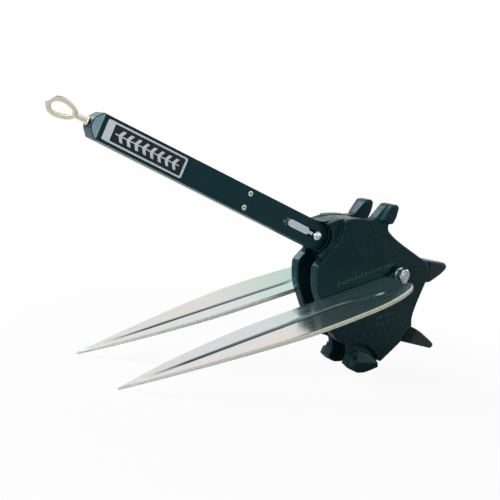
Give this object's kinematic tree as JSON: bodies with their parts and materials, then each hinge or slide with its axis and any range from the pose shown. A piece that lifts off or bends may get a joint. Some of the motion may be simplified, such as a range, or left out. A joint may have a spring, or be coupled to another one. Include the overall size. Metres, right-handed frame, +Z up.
{
  "type": "plow anchor",
  "caption": "Folding plow anchor: cast head with lugs and claws, two long leaf-shaped blades, and a pivoting flat-bar shank with a slide lock and a swivel eye.",
  "frame": {"origin": "centre of the box in plan, on the ground that the blade tips and the lower lugs stand on", "axes": "+Z up, +X from the blade tips to the claws, +Y across the head away from the label; the head's middle plane is Y = 0"},
  "size_m": [0.5378, 0.163, 0.2276],
  "materials": {
    "black_paint": "gloss black enamel on cast and bar steel",
    "plated_steel": "bright zinc plate with a faint yellow and pink iridescence",
    "bright_steel": "bright plated steel",
    "gold_plated": "yellow zinc plate",
    "label_silver": "satin silver",
    "label_black": "satin black",
    "cap_grey": "satin blue-grey",
    "bronze": "plain bearing bronze"
  },
  "bodies": {
    "head": {"cheek_near": "black_paint", "cheek_far": "black_paint", "centre_casting": "black_paint", "claw_upper": "black_paint", "claw_lower": "black_paint", "claw_pin_upper": "bright_steel", "claw_pin_lower": "bright_steel", "body_screw_1": "bright_steel", "body_screw_2": "bright_steel", "body_screw_3": "bright_steel", "body_screw_4": "bright_steel", "pivot_pin": "bright_steel", "pin_head_far": "bright_steel", "tongue_bush": "bronze", "bolt_bush": "bronze"},
    "shank": {"shank_bar": "black_paint", "end_cap": "black_paint", "label_tail": "cap_grey", "label_plate": "label_black", "label_frame": "label_silver", "label_motif": "label_silver", "rivet_upper": "bright_steel", "rivet_lower": "bright_steel"},
    "lock": {"lock_slide": "bright_steel"},
    "eye": {"eye_ring": "gold_plated", "eye_nut": "bright_steel", "eye_washer": "bright_steel"},
    "blades": {"blade_near": "plated_steel", "blade_far": "plated_steel", "blade_bolt": "bright_steel", "blade_washer_near": "bright_steel", "blade_washer_far": "bright_steel", "blade_nut_near": "bright_steel", "blade_nut_far": "bright_steel"}
  },
  "joints": [
    {"name": "shank_swing", "type": "hinge", "parent": "head", "child": "shank", "pos_m": [0.02975, 0, 0.14522], "axis": [0, -1, 0], "range_deg": [0, 36]},
    {"name": "lock_travel", "type": "slide", "parent": "shank", "child": "lock", "axis": [-0.9686, 0, 0.2487], "range_m": [0, 0.006]},
    {"name": "eye_swivel", "type": "hinge", "parent": "shank", "child": "eye", "pos_m": [-0.2279, 0, 0.21136], "axis": [-0.9686, 0, 0.2487], "continuous": true},
    {"name": "blades_fold", "type": "hinge", "parent": "head", "child": "blades", "pos_m": [0.1496, 0, 0.11567], "axis": [0, -1, 0], "range_deg": [-54, 0]}
  ]
}
